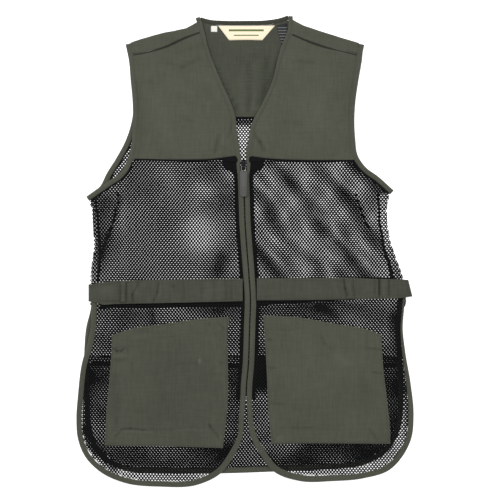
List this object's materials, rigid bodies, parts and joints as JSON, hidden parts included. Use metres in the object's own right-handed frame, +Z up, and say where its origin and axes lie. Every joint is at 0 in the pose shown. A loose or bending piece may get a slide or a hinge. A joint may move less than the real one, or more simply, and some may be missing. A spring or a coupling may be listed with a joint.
{
  "type": "shooting vest",
  "caption": "Sleeveless zip-front vest of olive poplin yokes and pockets on black netting, with a waist belt and a rear net pouch, laid flat on its back.",
  "frame": {"origin": "bottom centre of the whole vest, on the surface it lies on", "axes": "+X towards the wearer's left as laid out face up, +Y towards the neck, +Z up off the surface"},
  "size_m": [0.5396, 0.7554, 0.0102],
  "materials": {
    "poplin": "matt woven cotton poplin",
    "belt_poplin": "matt stitched webbing",
    "binding": "matt folded poplin tape",
    "netting": "dull knitted polyester net",
    "zip_tape": "dull woven tape",
    "slider_enamel": "gloss black enamel",
    "ring_metal": "polished",
    "pull_rubber": "satin moulded rubber",
    "neck_label": "smooth woven label",
    "size_label": "smooth woven label",
    "care_label": "printed tape"
  },
  "bodies": {
    "vest": {"back_yoke": "poplin", "back_net": "netting", "rear_pouch": "netting", "front_yoke_left": "poplin", "front_yoke_right": "poplin", "front_net_left": "netting", "front_net_right": "netting", "pocket_left": "poplin", "pocket_right": "poplin", "belt_front_left": "belt_poplin", "belt_front_right": "belt_poplin", "belt_back": "belt_poplin", "belt_loop_left": "belt_poplin", "belt_loop_right": "belt_poplin", "neck_binding_left": "binding", "neck_binding_right": "binding", "zip_binding_left": "binding", "zip_binding_right": "binding", "hem_binding_left": "binding", "hem_binding_right": "binding", "vent_binding_left": "binding", "vent_binding_right": "binding", "back_vent_left_binding": "binding", "back_hem_binding": "binding", "back_vent_right_binding": "binding", "armhole_binding_front_left": "binding", "armhole_binding_front_right": "binding", "armhole_binding_back_left": "binding", "armhole_binding_back_right": "binding", "neck_band": "binding", "zip_tape_left": "zip_tape", "zip_tape_right": "zip_tape", "zip_slider": "slider_enamel", "zip_bottom_stop": "ring_metal", "neck_label": "neck_label", "size_label": "size_label", "care_label": "care_label"},
    "pull": {"pull_ring": "ring_metal", "pull_tab": "pull_rubber"}
  },
  "joints": [
    {"name": "pull_hinge", "type": "hinge", "parent": "vest", "child": "pull", "pos_m": [-0.0026, 0.135, 0.008], "axis": [-1, 0, 0], "range_deg": [0, 150]}
  ]
}
